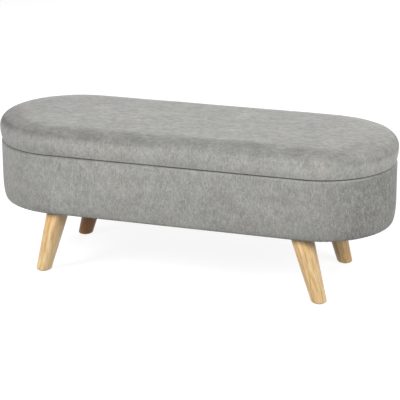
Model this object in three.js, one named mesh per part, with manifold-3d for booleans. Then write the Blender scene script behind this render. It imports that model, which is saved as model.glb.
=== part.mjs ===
// Oval upholstered storage bench. A padded lid is hinged along the back of a fabric-covered
// box, which stands on four tapered legs splayed out along its length.
//
// Millimetres, +Z up. The origin is on the floor under the middle of the bench. +X runs along
// its length and -Y is its front. Every plan outline is a stadium: two half-rounds joined by
// straight sides, so a place in its section is a radius from the line between their centres.

import * as THREE from "three";
import { mergeVertices } from "three/addons/utils/BufferGeometryUtils.js";
import Module from "manifold-3d";

const wasm = await Module();
wasm.setup();

// ---------------------------------------------------------------- driving dimensions

const LENGTH = 1117; // of the box, end to end
const END_RADIUS = 207; // of its half-round ends, so it is 414 deep
const SEAT_HEIGHT = 423; // crown of the lid
const BOX_BOTTOM = 184; // underside of the box
const BOX_TOP = 350.5; // rim of the box
const LID_GAP = 3; // between the rim and the closed lid, taken up by the hinges and bumpers
const CLEARANCE = 0.3; // between pieces that touch

const END_STEPS = 16; // flats round each half-round end
const CURVE_STEPS = 4; // flats along each rounded edge of a section
const ROUND_STEPS = 20; // flats round a leg
const SMALL_STEPS = 12; // flats round small turned pieces
const SCREW_STEPS = 8; // flats round screws and pegs
const CUT_THROUGH = 1; // how far a cutting tool runs on past the face it opens

const FABRIC = 1.5;
const LINING = 0.8; // non-woven cloth
const BOARD = 15; // base board and walls
const WALL_OUTER = 196; // radius of the walls' outer face, behind the padding

const BASE_TAPER = 8.5; // how far the padded side draws in towards the base
const BASE_TAPER_HEIGHT = 66;
const RIM_LEAN = 2; // how far it leans in towards the rim
const RIM_ROUNDING = 3.5;
const RIM_ROUNDING_HEIGHT = 6;
const BASE_FLAP = 164; // the cover turns in under the base as far as this radius
const RIM_FLAP = 25; // and this far down inside the rim
const DUST_COVER_RADIUS = 190;
const FLOOR_PANEL = 3; // thickness
const STRAP_WIDTH = 60; // straps let in across the wall joints
const STRAP = 6;
const JOINT_INSET = 40; // wall joints stand this far in from where the round ends begin

const LID_OVERHANG = 2.2; // beyond the box at its fullest
const LID_TUCK = 7; // how far its side draws in towards the gap
const LID_FULLEST = 34.5; // height of the fullest line above the lid's underside
const LID_EDGE = 30; // width of the rounding round the top
const LID_CROWN = 2; // rise of the top from its rounding to its middle
const LID_BOARD = 12;
const LID_BOARD_RADIUS = 199;
const LID_FLAP = 165; // the cover turns in under the board as far as this radius
const LID_LINING_RADIUS = 185;

const LEG_X = 344; // centre of a leg's top
const LEG_Y = 155;
const LEG_SPLAY = 52; // how far its foot stands out beyond its top
const LEG_TOP_RADIUS = 31;
const LEG_FOOT_RADIUS = 21.5;
const LEG_FOOT_ROUNDING = 5;
const GLIDE = 2.5;
const GLIDE_RADIUS = 12;
const GLIDE_PEG = 11;
const GLIDE_PEG_RADIUS = 1.6;
const GLIDE_EDGE = 1; // chamfer round its underside
const PEG_POINT = 2; // length of the peg's tip

const BOLT_RADIUS = 4; // M8
const BOLT_IN_LEG = 42;
const BOLT_IN_BOARD = 16;
const BOLT_POINT = 8; // length of the wood thread's tip
const BOLT_CHAMFER = 1;
const BOLT_HOLE_SPARE = 2; // how much deeper the hole in the leg is
const NUT_BARREL_RADIUS = 5.5;
const NUT_BARREL = 11;
const NUT_FLANGE_RADIUS = 10;
const NUT_FLANGE = 1.6;

const HINGE_PLACES = { left: -240, centre: 0, right: 240 };
const HINGE_Y = 210.5;
const HINGE_LENGTH = 70;
const HINGE_MIDDLE_KNUCKLE = 24; // length of the lid leaf's knuckle
const KNUCKLE_RADIUS = 3.2;
const PIN_RADIUS = 1.5;
const PIN_HEAD_RADIUS = 2.6;
const PIN_HEAD = 1.2;
const LEAF_INNER_Y = 180.5;
const LEAF_TAB_OVERLAP = 1; // of a knuckle's tab with its plate
const KNUCKLE_GAP = 0.4; // between a plate's edge and the other leaf's knuckles

const SCREW_X = 22; // either side of a hinge's middle
const SCREW_Y = 188.5;
const SCREW_LENGTH = 13;
const SCREW_POINT = 2.5; // length of its tip
const SCREW_RADIUS = 1.6;
const SCREW_HEAD_RADIUS = 3.5;
const SCREW_HEAD = 2;

const BUMPER_X = 300;
const BUMPER_RADIUS = 5;
const BUMPER_TAPER = 0.5; // drawn in this far below its rounded edge
const BUMPER_EDGE = 1; // width of that edge
const BUMPER_EDGE_HEIGHT = 0.5;

// ---------------------------------------------------------------- heights and radii that follow

const HALF_STRAIGHT = LENGTH / 2 - END_RADIUS;
const WALL_INNER = WALL_OUTER - BOARD;
const WALL_MIDDLE = (WALL_OUTER + WALL_INNER) / 2;
const SKIN_BOTTOM = BOX_BOTTOM + LINING + CLEARANCE;
const BASE_BOTTOM = SKIN_BOTTOM + FABRIC + CLEARANCE;
const BASE_TOP = BASE_BOTTOM + BOARD;
const WALL_BOTTOM = BASE_TOP + CLEARANCE;
const WALL_TOP = BOX_TOP - FABRIC - CLEARANCE;
const RIM_INNER = WALL_INNER - CLEARANCE - FABRIC;
const LINING_OUTER = RIM_INNER - CLEARANCE;
const LINING_TOP = BOX_TOP - RIM_FLAP / 2;
const FLOOR_PANEL_RADIUS = LINING_OUTER - LINING - CLEARANCE;
const JOINT_X = HALF_STRAIGHT - JOINT_INSET;

const LID_BOTTOM = BOX_TOP + LID_GAP;
const LID_SKIN_BOTTOM = LID_BOTTOM + LINING + CLEARANCE;
const LID_BOARD_BOTTOM = LID_SKIN_BOTTOM + FABRIC + CLEARANCE;
const LID_FOAM_BOTTOM = LID_BOARD_BOTTOM + LID_BOARD + CLEARANCE;
const LID_RADIUS = END_RADIUS + LID_OVERHANG;

const HINGE_Z = BOX_TOP + LID_GAP / 2;
const LEAF = (LID_GAP - 3 * CLEARANCE) / 2;
const BOX_LEAF_TOP = HINGE_Z - CLEARANCE / 2;
const LID_LEAF_BOTTOM = HINGE_Z + CLEARANCE / 2;

const LEG_BOTTOM = GLIDE + CLEARANCE;
const LEG_TOP = BOX_BOTTOM - CLEARANCE;
const LEG_SHEAR = LEG_SPLAY / BOX_BOTTOM;

const KNUCKLE_END = HINGE_MIDDLE_KNUCKLE / 2;
const OUTER_KNUCKLES = [
  [-HINGE_LENGTH / 2, -KNUCKLE_END - CLEARANCE],
  [KNUCKLE_END + CLEARANCE, HINGE_LENGTH / 2],
];
const MIDDLE_KNUCKLE = [[-KNUCKLE_END, KNUCKLE_END]];

// ---------------------------------------------------------------- materials

const material = (color, roughness, metalness = 0) =>
  new THREE.MeshStandardMaterial({ color, roughness, metalness });

const fabricGrey = material(0x9f9e9a, 0.95);
const nonWovenBlack = material(0x2b2b2c, 0.95);
const foamCream = material(0xe6dfc8, 0.9);
const plywood = material(0xc9a878, 0.7);
const rubberwood = material(0xd9b98a, 0.5);
const zincSteel = material(0xb4b6b8, 0.35, 0.9);
const nylon = material(0x8b6f52, 0.6);
const rubber = material(0x1e1e1e, 0.85);

// ---------------------------------------------------------------- solids

const point = (radius, height) => new THREE.Vector2(radius, height);

// A closed mesh as a manifold-3d solid.
function solidOf(geometry) {
  const bare = geometry.clone();
  bare.deleteAttribute("normal");
  bare.deleteAttribute("uv");
  const merged = mergeVertices(bare, 1e-3);
  return new wasm.Manifold(
    new wasm.Mesh({
      numProp: 3,
      vertProperties: merged.getAttribute("position").array,
      triVerts: new Uint32Array(merged.index.array),
    }),
  );
}

function geometryOf(solid) {
  const { vertProperties, triVerts } = solid.getMesh();
  const geometry = new THREE.BufferGeometry();
  geometry.setAttribute("position", new THREE.BufferAttribute(vertProperties, 3));
  geometry.setIndex(new THREE.BufferAttribute(triVerts, 1));
  geometry.computeVertexNormals();
  return geometry;
}

const cut = (geometry, tools) =>
  geometryOf(tools.reduce((left, tool) => left.subtract(solidOf(tool)), solidOf(geometry)));

const join = (geometries) =>
  geometryOf(geometries.map(solidOf).reduce((whole, piece) => whole.add(piece)));

const common = (geometry, tool) => geometryOf(solidOf(geometry).intersect(solidOf(tool)));

// A block given by its lowest and highest corners.
function block([x0, y0, z0], [x1, y1, z1]) {
  const geometry = new THREE.BoxGeometry(x1 - x0, y1 - y0, z1 - z0);
  return geometry.translate((x0 + x1) / 2, (y0 + y1) / 2, (z0 + z1) / 2);
}

// A turned piece: the profile's points are (radius, height), going anticlockwise.
const turned = (profile, steps = SMALL_STEPS) =>
  new THREE.LatheGeometry(profile, steps).rotateX(Math.PI / 2);

// The same, turned about the X axis.
const turnedAlongX = (profile) =>
  new THREE.LatheGeometry(profile, SMALL_STEPS).rotateZ(-Math.PI / 2);

// A lathe whose axis is drawn out into a line along X, so the profile runs round a stadium.
function stadiumLathe(profile) {
  const rings = 2 * (END_STEPS + 1);
  const geometry = new THREE.LatheGeometry(profile, rings);
  const position = geometry.getAttribute("position");
  for (let ring = 0; ring <= rings; ring++) {
    const place = ring % rings;
    const end = place <= END_STEPS ? 1 : -1;
    const turn = (place % (END_STEPS + 1)) / END_STEPS - 0.5;
    const outX = end * Math.cos(turn * Math.PI);
    const outY = end * Math.sin(turn * Math.PI);
    profile.forEach(({ x: radius, y: height }, index) => {
      const x = end * HALF_STRAIGHT + radius * outX;
      position.setXYZ(ring * profile.length + index, x, radius * outY, height);
    });
  }
  return geometry;
}

const stadiumPlate = (radius, bottom, top) =>
  stadiumLathe([point(0, bottom), point(radius, bottom), point(radius, top), point(0, top)]);

const closed = (profile) => [...profile, profile[0]];

// A skin of even thickness: outline(inset) draws its face that far inside the outer one.
const skin = (outline, thickness) => closed([...outline(0), ...outline(thickness).reverse()]);

// Points along a quarter turn: place(sine, cosine) gives each one.
function quarter(place) {
  return Array.from({ length: CURVE_STEPS + 1 }, (_, step) => {
    const angle = (step / CURVE_STEPS) * (Math.PI / 2);
    return place(Math.sin(angle), Math.cos(angle));
  });
}

// ---------------------------------------------------------------- the group

const bench = new THREE.Group();
bench.name = "storage_bench";
const box = new THREE.Group();
const lid = new THREE.Group();
bench.add(box, lid);

function add(group, name, geometry, itsMaterial) {
  const mesh = new THREE.Mesh(geometry, itsMaterial.clone());
  mesh.name = name;
  group.add(mesh);
  return mesh;
}

const SIDES = { front: -1, rear: 1 };
const ENDS = { left: -1, right: 1 };
const CORNERS = Object.entries(SIDES).flatMap(([side, y]) =>
  Object.entries(ENDS).map(([end, x]) => ({ name: `${side}_${end}`, x, y })),
);
const HINGE_SCREWS = Object.entries(HINGE_PLACES).flatMap(([place, x]) => [
  { name: `${place}_1`, x: x - SCREW_X },
  { name: `${place}_2`, x: x + SCREW_X },
]);

// ---------------------------------------------------------------- hinge screws

// A countersunk screw with the middle of its head's face at the origin, pointing down. Grown by
// a clearance, it is the hole that the screw goes in.
function screw(grow = 0) {
  const face = grow ? CUT_THROUGH : 0;
  return turned(
    [
      point(0, -SCREW_LENGTH - grow),
      point(SCREW_RADIUS + grow, -SCREW_LENGTH + SCREW_POINT),
      point(SCREW_RADIUS + grow, -SCREW_HEAD),
      point(SCREW_HEAD_RADIUS + grow, 0),
      ...(grow ? [point(SCREW_HEAD_RADIUS + grow, face)] : []),
      point(0, face),
    ],
    SCREW_STEPS,
  );
}

const downScrew = (x, grow) => screw(grow).translate(x, SCREW_Y, BOX_LEAF_TOP);
const upScrew = (x, grow) => screw(grow).rotateX(Math.PI).translate(x, SCREW_Y, LID_LEAF_BOTTOM);
const boxScrewHoles = HINGE_SCREWS.map(({ x }) => downScrew(x, CLEARANCE));
const lidScrewHoles = HINGE_SCREWS.map(({ x }) => upScrew(x, CLEARANCE));

// ---------------------------------------------------------------- wooden box

// The hole for a leg nut: its barrel goes right through and its flange is sunk flush.
function nutHole({ x, y }) {
  const barrel = NUT_BARREL_RADIUS + CLEARANCE;
  const flange = NUT_FLANGE_RADIUS + CLEARANCE;
  const seat = BASE_TOP - NUT_FLANGE - CLEARANCE;
  return turned([
    point(0, BASE_BOTTOM - CUT_THROUGH),
    point(barrel, BASE_BOTTOM - CUT_THROUGH),
    point(barrel, seat),
    point(flange, seat),
    point(flange, BASE_TOP + CUT_THROUGH),
    point(0, BASE_TOP + CUT_THROUGH),
  ]).translate(x * LEG_X, y * LEG_Y, 0);
}

const baseBoard = () => cut(stadiumPlate(WALL_OUTER, BASE_BOTTOM, BASE_TOP), CORNERS.map(nutHole));

const upright = (outline) =>
  new THREE.ExtrudeGeometry(outline, {
    depth: WALL_TOP - WALL_BOTTOM,
    bevelEnabled: false,
    curveSegments: END_STEPS / 2,
  }).translate(0, 0, WALL_BOTTOM);

// A straight wall, drawn at the rear, with a rebate for half a strap at each end.
function straightWall() {
  const end = JOINT_X - CLEARANCE / 2;
  const rebate = JOINT_X - STRAP_WIDTH / 2;
  const outline = new THREE.Shape();
  outline.moveTo(-rebate, WALL_INNER);
  outline.lineTo(rebate, WALL_INNER);
  outline.lineTo(rebate, WALL_INNER + STRAP);
  outline.lineTo(end, WALL_INNER + STRAP);
  outline.lineTo(end, WALL_OUTER);
  outline.lineTo(-end, WALL_OUTER);
  outline.lineTo(-end, WALL_INNER + STRAP);
  outline.lineTo(-rebate, WALL_INNER + STRAP);
  return upright(outline);
}

// A half-round wall, drawn at the right, with a short straight tail and half a rebate each side.
function endWall() {
  const start = JOINT_X + CLEARANCE / 2;
  const rebate = JOINT_X + STRAP_WIDTH / 2;
  const outline = new THREE.Shape();
  outline.moveTo(start, -WALL_OUTER);
  outline.absarc(HALF_STRAIGHT, 0, WALL_OUTER, -Math.PI / 2, Math.PI / 2);
  outline.lineTo(start, WALL_OUTER);
  outline.lineTo(start, WALL_INNER + STRAP);
  outline.lineTo(rebate, WALL_INNER + STRAP);
  outline.lineTo(rebate, WALL_INNER);
  outline.absarc(HALF_STRAIGHT, 0, WALL_INNER, Math.PI / 2, -Math.PI / 2, true);
  outline.lineTo(rebate, -WALL_INNER);
  outline.lineTo(rebate, -WALL_INNER - STRAP);
  outline.lineTo(start, -WALL_INNER - STRAP);
  return upright(outline);
}

function jointStrap() {
  const width = STRAP_WIDTH / 2 - CLEARANCE;
  return block(
    [-width, WALL_INNER, WALL_BOTTOM],
    [width, WALL_INNER + STRAP - CLEARANCE, WALL_TOP],
  );
}

add(box, "base_board", baseBoard(), plywood);
add(box, "rear_panel", cut(straightWall(), boxScrewHoles), plywood);
add(box, "front_panel", straightWall(), plywood).rotation.z = Math.PI;
add(box, "right_end_wall", endWall(), plywood);
add(box, "left_end_wall", endWall(), plywood).rotation.z = Math.PI;
for (const { name, x, y } of CORNERS) {
  const strap = add(box, `joint_strap_${name}`, jointStrap(), plywood);
  strap.position.x = x * JOINT_X;
  strap.rotation.z = y > 0 ? 0 : Math.PI;
}

// ---------------------------------------------------------------- padding and cover of the box

// The section of the padded box, from the flap under its base, up the side and over the rim to
// the flap inside it.
function boxOutline(inset) {
  const side = END_RADIUS - inset;
  const rim = side - RIM_LEAN;
  const top = BOX_TOP - inset;
  return [
    point(BASE_FLAP, SKIN_BOTTOM + inset),
    ...quarter((sine, cosine) =>
      point(
        side - BASE_TAPER * (1 - sine),
        SKIN_BOTTOM + inset + (BASE_TAPER_HEIGHT - inset) * (1 - cosine),
      ),
    ),
    ...quarter((sine, cosine) =>
      point(rim - RIM_ROUNDING * (1 - cosine), top - RIM_ROUNDING_HEIGHT * (1 - sine)),
    ),
    point(RIM_INNER + inset, top),
    point(RIM_INNER + inset, BOX_TOP - RIM_FLAP),
  ];
}

// The foam between the walls and the cover, cut into lengths where the straight sides end.
function paddingRing() {
  const inset = FABRIC + CLEARANCE;
  const inner = WALL_OUTER + CLEARANCE;
  const outer = boxOutline(inset).slice(1, -2);
  return stadiumLathe(closed([point(inner, outer[0].y), ...outer, point(inner, WALL_TOP)]));
}

function straightPadding() {
  const end = HALF_STRAIGHT - CLEARANCE / 2;
  return common(paddingRing(), block([-end, 0, 0], [end, LENGTH, SEAT_HEIGHT]));
}

function endPadding() {
  const start = HALF_STRAIGHT + CLEARANCE / 2;
  return common(paddingRing(), block([start, -LENGTH, 0], [LENGTH, LENGTH, SEAT_HEIGHT]));
}

add(box, "rear_padding", straightPadding(), foamCream);
add(box, "front_padding", straightPadding(), foamCream).rotation.z = Math.PI;
add(box, "right_padding", endPadding(), foamCream);
add(box, "left_padding", endPadding(), foamCream).rotation.z = Math.PI;
add(
  box,
  "box_cover",
  cut(stadiumLathe(skin(boxOutline, FABRIC)), boxScrewHoles),
  fabricGrey,
);

// ---------------------------------------------------------------- linings

// The lining hangs just inside the rim's flap, down to the base board.
const wallLining = () =>
  stadiumLathe(
    closed([
      point(LINING_OUTER - LINING, WALL_BOTTOM),
      point(LINING_OUTER, WALL_BOTTOM),
      point(LINING_OUTER, LINING_TOP),
      point(LINING_OUTER - LINING, LINING_TOP),
    ]),
  );

function dustCover() {
  const boltHoles = CORNERS.map(({ x, y }) =>
    turned([
      point(0, BOX_BOTTOM - CUT_THROUGH),
      point(BOLT_RADIUS + CLEARANCE, BOX_BOTTOM - CUT_THROUGH),
      point(BOLT_RADIUS + CLEARANCE, BASE_BOTTOM),
      point(0, BASE_BOTTOM),
    ]).translate(x * LEG_X, y * LEG_Y, 0),
  );
  return cut(stadiumPlate(DUST_COVER_RADIUS, BOX_BOTTOM, BOX_BOTTOM + LINING), boltHoles);
}

add(box, "wall_lining", wallLining(), nonWovenBlack);
add(
  box,
  "floor_panel",
  stadiumPlate(FLOOR_PANEL_RADIUS, WALL_BOTTOM, WALL_BOTTOM + FLOOR_PANEL),
  nonWovenBlack,
);
add(box, "dust_cover", dustCover(), nonWovenBlack);

// ---------------------------------------------------------------- legs and what holds them

// A double-ended screw: a pointed wood thread below and an M8 thread above.
const hangerBolt = () =>
  turned([
    point(0, BOX_BOTTOM - BOLT_IN_LEG),
    point(BOLT_RADIUS, BOX_BOTTOM - BOLT_IN_LEG + BOLT_POINT),
    point(BOLT_RADIUS, BOX_BOTTOM + BOLT_IN_BOARD - BOLT_CHAMFER),
    point(BOLT_RADIUS - BOLT_CHAMFER, BOX_BOTTOM + BOLT_IN_BOARD),
    point(0, BOX_BOTTOM + BOLT_IN_BOARD),
  ]);

const legNut = () =>
  turned(
    closed([
      point(BOLT_RADIUS + CLEARANCE, BASE_TOP - NUT_BARREL),
      point(NUT_BARREL_RADIUS, BASE_TOP - NUT_BARREL),
      point(NUT_BARREL_RADIUS, BASE_TOP - NUT_FLANGE),
      point(NUT_FLANGE_RADIUS, BASE_TOP - NUT_FLANGE),
      point(NUT_FLANGE_RADIUS, BASE_TOP),
      point(BOLT_RADIUS + CLEARANCE, BASE_TOP),
    ]),
  );

// The right-hand leg: a cone leaning outwards, with both ends cut parallel to the floor. It is
// bored for the bolt at its top and for the glide's peg at its foot.
function leg() {
  const cone = turned(
    [
      point(0, LEG_BOTTOM),
      ...quarter((sine, cosine) =>
        point(
          LEG_FOOT_RADIUS - LEG_FOOT_ROUNDING * (1 - sine),
          LEG_BOTTOM + LEG_FOOT_ROUNDING * (1 - cosine),
        ),
      ),
      point(LEG_TOP_RADIUS, LEG_TOP),
      point(0, LEG_TOP),
    ],
    ROUND_STEPS,
  );
  cone.applyMatrix4(new THREE.Matrix4().makeShear(0, 0, 0, 0, -LEG_SHEAR, 0));
  cone.translate(LEG_SPLAY, 0, 0);
  const bolt = BOLT_RADIUS + CLEARANCE;
  const boltHole = turned([
    point(0, LEG_TOP - BOLT_IN_LEG - BOLT_HOLE_SPARE),
    point(bolt, LEG_TOP - BOLT_IN_LEG - BOLT_HOLE_SPARE + BOLT_POINT),
    point(bolt, BOX_BOTTOM),
    point(0, BOX_BOTTOM),
  ]);
  const peg = GLIDE_PEG_RADIUS + CLEARANCE;
  const pegHole = turned(
    [
      point(0, 0),
      point(peg, 0),
      point(peg, GLIDE + GLIDE_PEG),
      point(0, GLIDE + GLIDE_PEG + PEG_POINT),
    ],
    SCREW_STEPS,
  ).translate(LEG_SPLAY, 0, 0);
  return cut(cone, [boltHole, pegHole]);
}

const glide = () =>
  turned([
    point(0, 0),
    point(GLIDE_RADIUS - GLIDE_EDGE, 0),
    point(GLIDE_RADIUS, GLIDE_EDGE),
    point(GLIDE_RADIUS, GLIDE),
    point(GLIDE_PEG_RADIUS, GLIDE),
    point(GLIDE_PEG_RADIUS, GLIDE + GLIDE_PEG - PEG_POINT),
    point(0, GLIDE + GLIDE_PEG),
  ]).translate(LEG_SPLAY, 0, 0);

for (const corner of CORNERS) {
  const place = new THREE.Group();
  place.position.set(corner.x * LEG_X, corner.y * LEG_Y, 0);
  place.rotation.z = corner.x > 0 ? 0 : Math.PI;
  box.add(place);
  add(place, `leg_${corner.name}`, leg(), rubberwood);
  add(place, `hanger_bolt_${corner.name}`, hangerBolt(), zincSteel);
  add(place, `leg_nut_${corner.name}`, legNut(), zincSteel);
  add(place, `glide_${corner.name}`, glide(), nylon);
}

// ---------------------------------------------------------------- hinges

// A tube of the hinge's barrel, between two places along the hinge.
const knuckle = (start, end) =>
  turnedAlongX(
    closed([
      point(PIN_RADIUS + CLEARANCE, start),
      point(KNUCKLE_RADIUS, start),
      point(KNUCKLE_RADIUS, end),
      point(PIN_RADIUS + CLEARANCE, end),
    ]),
  ).translate(0, HINGE_Y, HINGE_Z);

// One leaf: a plate with a tab into each of its own knuckles, which clears the other leaf's.
function hingeLeaf(spans, bottom, screwHoles) {
  const half = HINGE_LENGTH / 2;
  const tabEdge = HINGE_Y - PIN_RADIUS - 2 * CLEARANCE;
  const plateEdge = HINGE_Y - KNUCKLE_RADIUS - KNUCKLE_GAP;
  const plate = block([-half, LEAF_INNER_Y, bottom], [half, plateEdge, bottom + LEAF]);
  const tabs = spans.map(([start, end]) =>
    block([start, plateEdge - LEAF_TAB_OVERLAP, bottom], [end, tabEdge, bottom + LEAF]),
  );
  const knuckles = spans.map(([start, end]) => knuckle(start, end));
  return cut(join([plate, ...tabs, ...knuckles]), screwHoles);
}

function hingePin() {
  const end = HINGE_LENGTH / 2 + CLEARANCE;
  return turnedAlongX([
    point(0, -end - PIN_HEAD),
    point(PIN_HEAD_RADIUS, -end - PIN_HEAD),
    point(PIN_HEAD_RADIUS, -end),
    point(PIN_RADIUS, -end),
    point(PIN_RADIUS, end),
    point(PIN_HEAD_RADIUS, end),
    point(PIN_HEAD_RADIUS, end + PIN_HEAD),
    point(0, end + PIN_HEAD),
  ]).translate(0, HINGE_Y, HINGE_Z);
}

const leafHoles = (hole) => [hole(-SCREW_X, CLEARANCE), hole(SCREW_X, CLEARANCE)];

for (const [place, x] of Object.entries(HINGE_PLACES)) {
  const boxLeaf = hingeLeaf(OUTER_KNUCKLES, BOX_LEAF_TOP - LEAF, leafHoles(downScrew));
  const lidLeaf = hingeLeaf(MIDDLE_KNUCKLE, LID_LEAF_BOTTOM, leafHoles(upScrew));
  add(box, `hinge_box_leaf_${place}`, boxLeaf, zincSteel).position.x = x;
  add(box, `hinge_pin_${place}`, hingePin(), zincSteel).position.x = x;
  add(lid, `hinge_lid_leaf_${place}`, lidLeaf, zincSteel).position.x = x;
}
for (const { name, x } of HINGE_SCREWS) {
  add(box, `hinge_box_screw_${name}`, downScrew(x, 0), zincSteel);
  add(lid, `hinge_lid_screw_${name}`, upScrew(x, 0), zincSteel);
}

// ---------------------------------------------------------------- bumpers

function bumper() {
  const top = LID_BOTTOM - CLEARANCE;
  return turned([
    point(0, BOX_TOP + CLEARANCE),
    point(BUMPER_RADIUS, BOX_TOP + CLEARANCE),
    point(BUMPER_RADIUS - BUMPER_TAPER, top - BUMPER_EDGE_HEIGHT),
    point(BUMPER_RADIUS - BUMPER_TAPER - BUMPER_EDGE, top),
    point(0, top),
  ]).translate(0, -WALL_MIDDLE, 0);
}

for (const [end, x] of Object.entries(ENDS)) {
  add(box, `rubber_bumper_${end}`, bumper(), rubber).position.x = x * BUMPER_X;
}

// ---------------------------------------------------------------- lid

// The section of the padded lid, from the flap under its board, round the side to the crown.
function lidOutline(inset) {
  const side = LID_RADIUS - inset;
  const fullest = LID_SKIN_BOTTOM + LID_FULLEST;
  const shoulder = SEAT_HEIGHT - LID_CROWN - inset;
  const bottom = LID_SKIN_BOTTOM + inset;
  return [
    point(LID_FLAP, bottom),
    ...quarter((sine, cosine) =>
      point(side - LID_TUCK * (1 - sine), bottom + (fullest - bottom) * (1 - cosine)),
    ),
    ...quarter((sine, cosine) =>
      point(side - LID_EDGE * (1 - cosine), fullest + (shoulder - fullest) * sine),
    ).slice(1),
    point((side - LID_EDGE) / 2, SEAT_HEIGHT - inset - LID_CROWN / 4),
    point(0, SEAT_HEIGHT - inset),
  ];
}

// The fabric is what is left of the padded lid's outer form once its filling and the opening
// between the flaps under the board are taken out.
function lidCover() {
  const outer = stadiumLathe([point(0, LID_SKIN_BOTTOM), ...lidOutline(0)]);
  const filling = stadiumLathe([
    point(0, LID_BOTTOM),
    point(LID_FLAP, LID_BOTTOM),
    ...lidOutline(FABRIC),
  ]);
  return cut(outer, [filling, ...lidScrewHoles]);
}

function lidFoam() {
  const filling = stadiumLathe([
    point(0, LID_SKIN_BOTTOM),
    ...lidOutline(FABRIC + CLEARANCE).slice(1),
  ]);
  const above = block([-LENGTH, -LENGTH, LID_FOAM_BOTTOM], [LENGTH, LENGTH, 2 * SEAT_HEIGHT]);
  return common(filling, above);
}

const lidBoard = () =>
  cut(
    stadiumPlate(LID_BOARD_RADIUS, LID_BOARD_BOTTOM, LID_BOARD_BOTTOM + LID_BOARD),
    lidScrewHoles,
  );

add(lid, "lid_board", lidBoard(), plywood);
add(lid, "lid_foam", lidFoam(), foamCream);
add(lid, "lid_cover", lidCover(), fabricGrey);
add(
  lid,
  "lid_lining",
  cut(stadiumPlate(LID_LINING_RADIUS, LID_BOTTOM, LID_BOTTOM + LINING), lidScrewHoles),
  nonWovenBlack,
);

export default bench;
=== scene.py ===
"""Looks of an oval upholstered storage bench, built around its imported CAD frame.

Metres, +Z up, the bench's front towards -Y. Every plan outline is a stadium, two half-rounds
joined by straight sides, so a place in its section is a radius from the line between their
centres, and a height.
"""

import math

import bmesh
import bpy
import numpy as np
from mathutils import Matrix, Quaternion, Vector, kdtree, noise


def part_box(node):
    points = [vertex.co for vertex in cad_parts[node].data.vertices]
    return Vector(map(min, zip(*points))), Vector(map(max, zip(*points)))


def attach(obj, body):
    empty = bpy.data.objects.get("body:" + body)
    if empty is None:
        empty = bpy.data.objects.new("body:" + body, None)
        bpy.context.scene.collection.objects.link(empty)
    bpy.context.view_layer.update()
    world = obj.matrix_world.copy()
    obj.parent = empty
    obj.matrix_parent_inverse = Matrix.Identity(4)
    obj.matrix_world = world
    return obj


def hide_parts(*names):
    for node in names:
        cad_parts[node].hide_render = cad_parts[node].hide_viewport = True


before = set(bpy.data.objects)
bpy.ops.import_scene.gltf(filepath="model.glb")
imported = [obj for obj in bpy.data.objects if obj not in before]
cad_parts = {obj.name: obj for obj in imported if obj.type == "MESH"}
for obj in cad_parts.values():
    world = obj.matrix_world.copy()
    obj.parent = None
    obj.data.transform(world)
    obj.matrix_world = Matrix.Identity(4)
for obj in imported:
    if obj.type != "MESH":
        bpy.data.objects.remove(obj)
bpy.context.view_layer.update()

MM = 0.001

# ------ sizes read from the frame

box_low, box_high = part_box("box_cover")
lid_low, lid_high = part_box("lid_cover")
HALF_STRAIGHT = box_high.x - box_high.y
BOX_RADIUS = box_high.y
SKIN_BOTTOM = box_low.z
BOX_TOP = box_high.z
LID_RADIUS = lid_high.y
LID_SKIN_BOTTOM = lid_low.z
SEAT_TOP = lid_high.z
WALL_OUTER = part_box("base_board")[1].y
BASE_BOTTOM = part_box("base_board")[0].z
LID_BOARD_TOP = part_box("lid_board")[1].z
CLEARANCE = 0.3 * MM

# ------ sizes of the soft parts

FABRIC = 1.3 * MM
BASE_TAPER = 8.5 * MM
BASE_TAPER_HEIGHT = 57 * MM
RIM_LEAN = 0.6 * MM
RIM_ROUNDING = 3.5 * MM
RIM_ROUNDING_HEIGHT = 6 * MM
RIM_INNER = 179.2 * MM
RIM_INNER_ROUNDING = 2.5 * MM
BASE_FLAP = 164 * MM
RIM_FLAP = 25 * MM
FOAM_INSET = FABRIC + 2 * CLEARANCE + 0.6 * MM

LID_TUCK = 5.2 * MM
LID_CORNER = 2 * MM
LID_FULLEST = 34.5 * MM
LID_EDGE = 28 * MM
LID_CROWN = 2 * MM
LID_FLAP = 165 * MM
LID_DIP = 1.7 * MM
LID_DIP_RADIUS = 187 * MM

PLEAT_PITCH = 17 * MM
PLEAT_DEPTH = 1.0 * MM
PLEAT_HEIGHT = 14 * MM
PLEAT_FADE = 30 * MM
BOX_WAVE = 90 * MM
BOX_WAVE_DEPTH = 0.5 * MM
LID_WAVE = 110 * MM
LID_WAVE_DEPTH = 0.6 * MM
FLAT_WITHIN = 0.12
WAVY_BEYOND = 0.19
SEAM_WIDTH = 2.4 * MM
SEAM_DEPTH = 1.1 * MM

LINING = 0.8 * MM
LINING_SLACK = 1.2 * MM
UNDER_SAG = 1.6 * MM
LID_LINING_SAG = 0.8 * MM
HEM = 0.5 * MM
HEM_WIDTH = 12 * MM
DUST_HOLE = 4.3 * MM
PANEL_ROUNDING = 1.2 * MM

VOXEL = 6 * MM
CLOTH_FRAMES = 20
LID_HELD = 27 * MM
LID_PRESSURE = 0.4
LID_SWELL = 4 * MM
BOX_HELD = 12 * MM
BOX_PRESSURE = 3.0
BOX_SWELL = 1.4 * MM

STRAIGHT_COLUMNS = 96
END_COLUMNS = 92
ROW = 6 * MM
SHARP = 40  # degrees between two faces, from which their edge shows as a crease
BLUNT = 60
BOARD_EASING = 0.5 * MM

# ------ sizes of the hard parts

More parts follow.
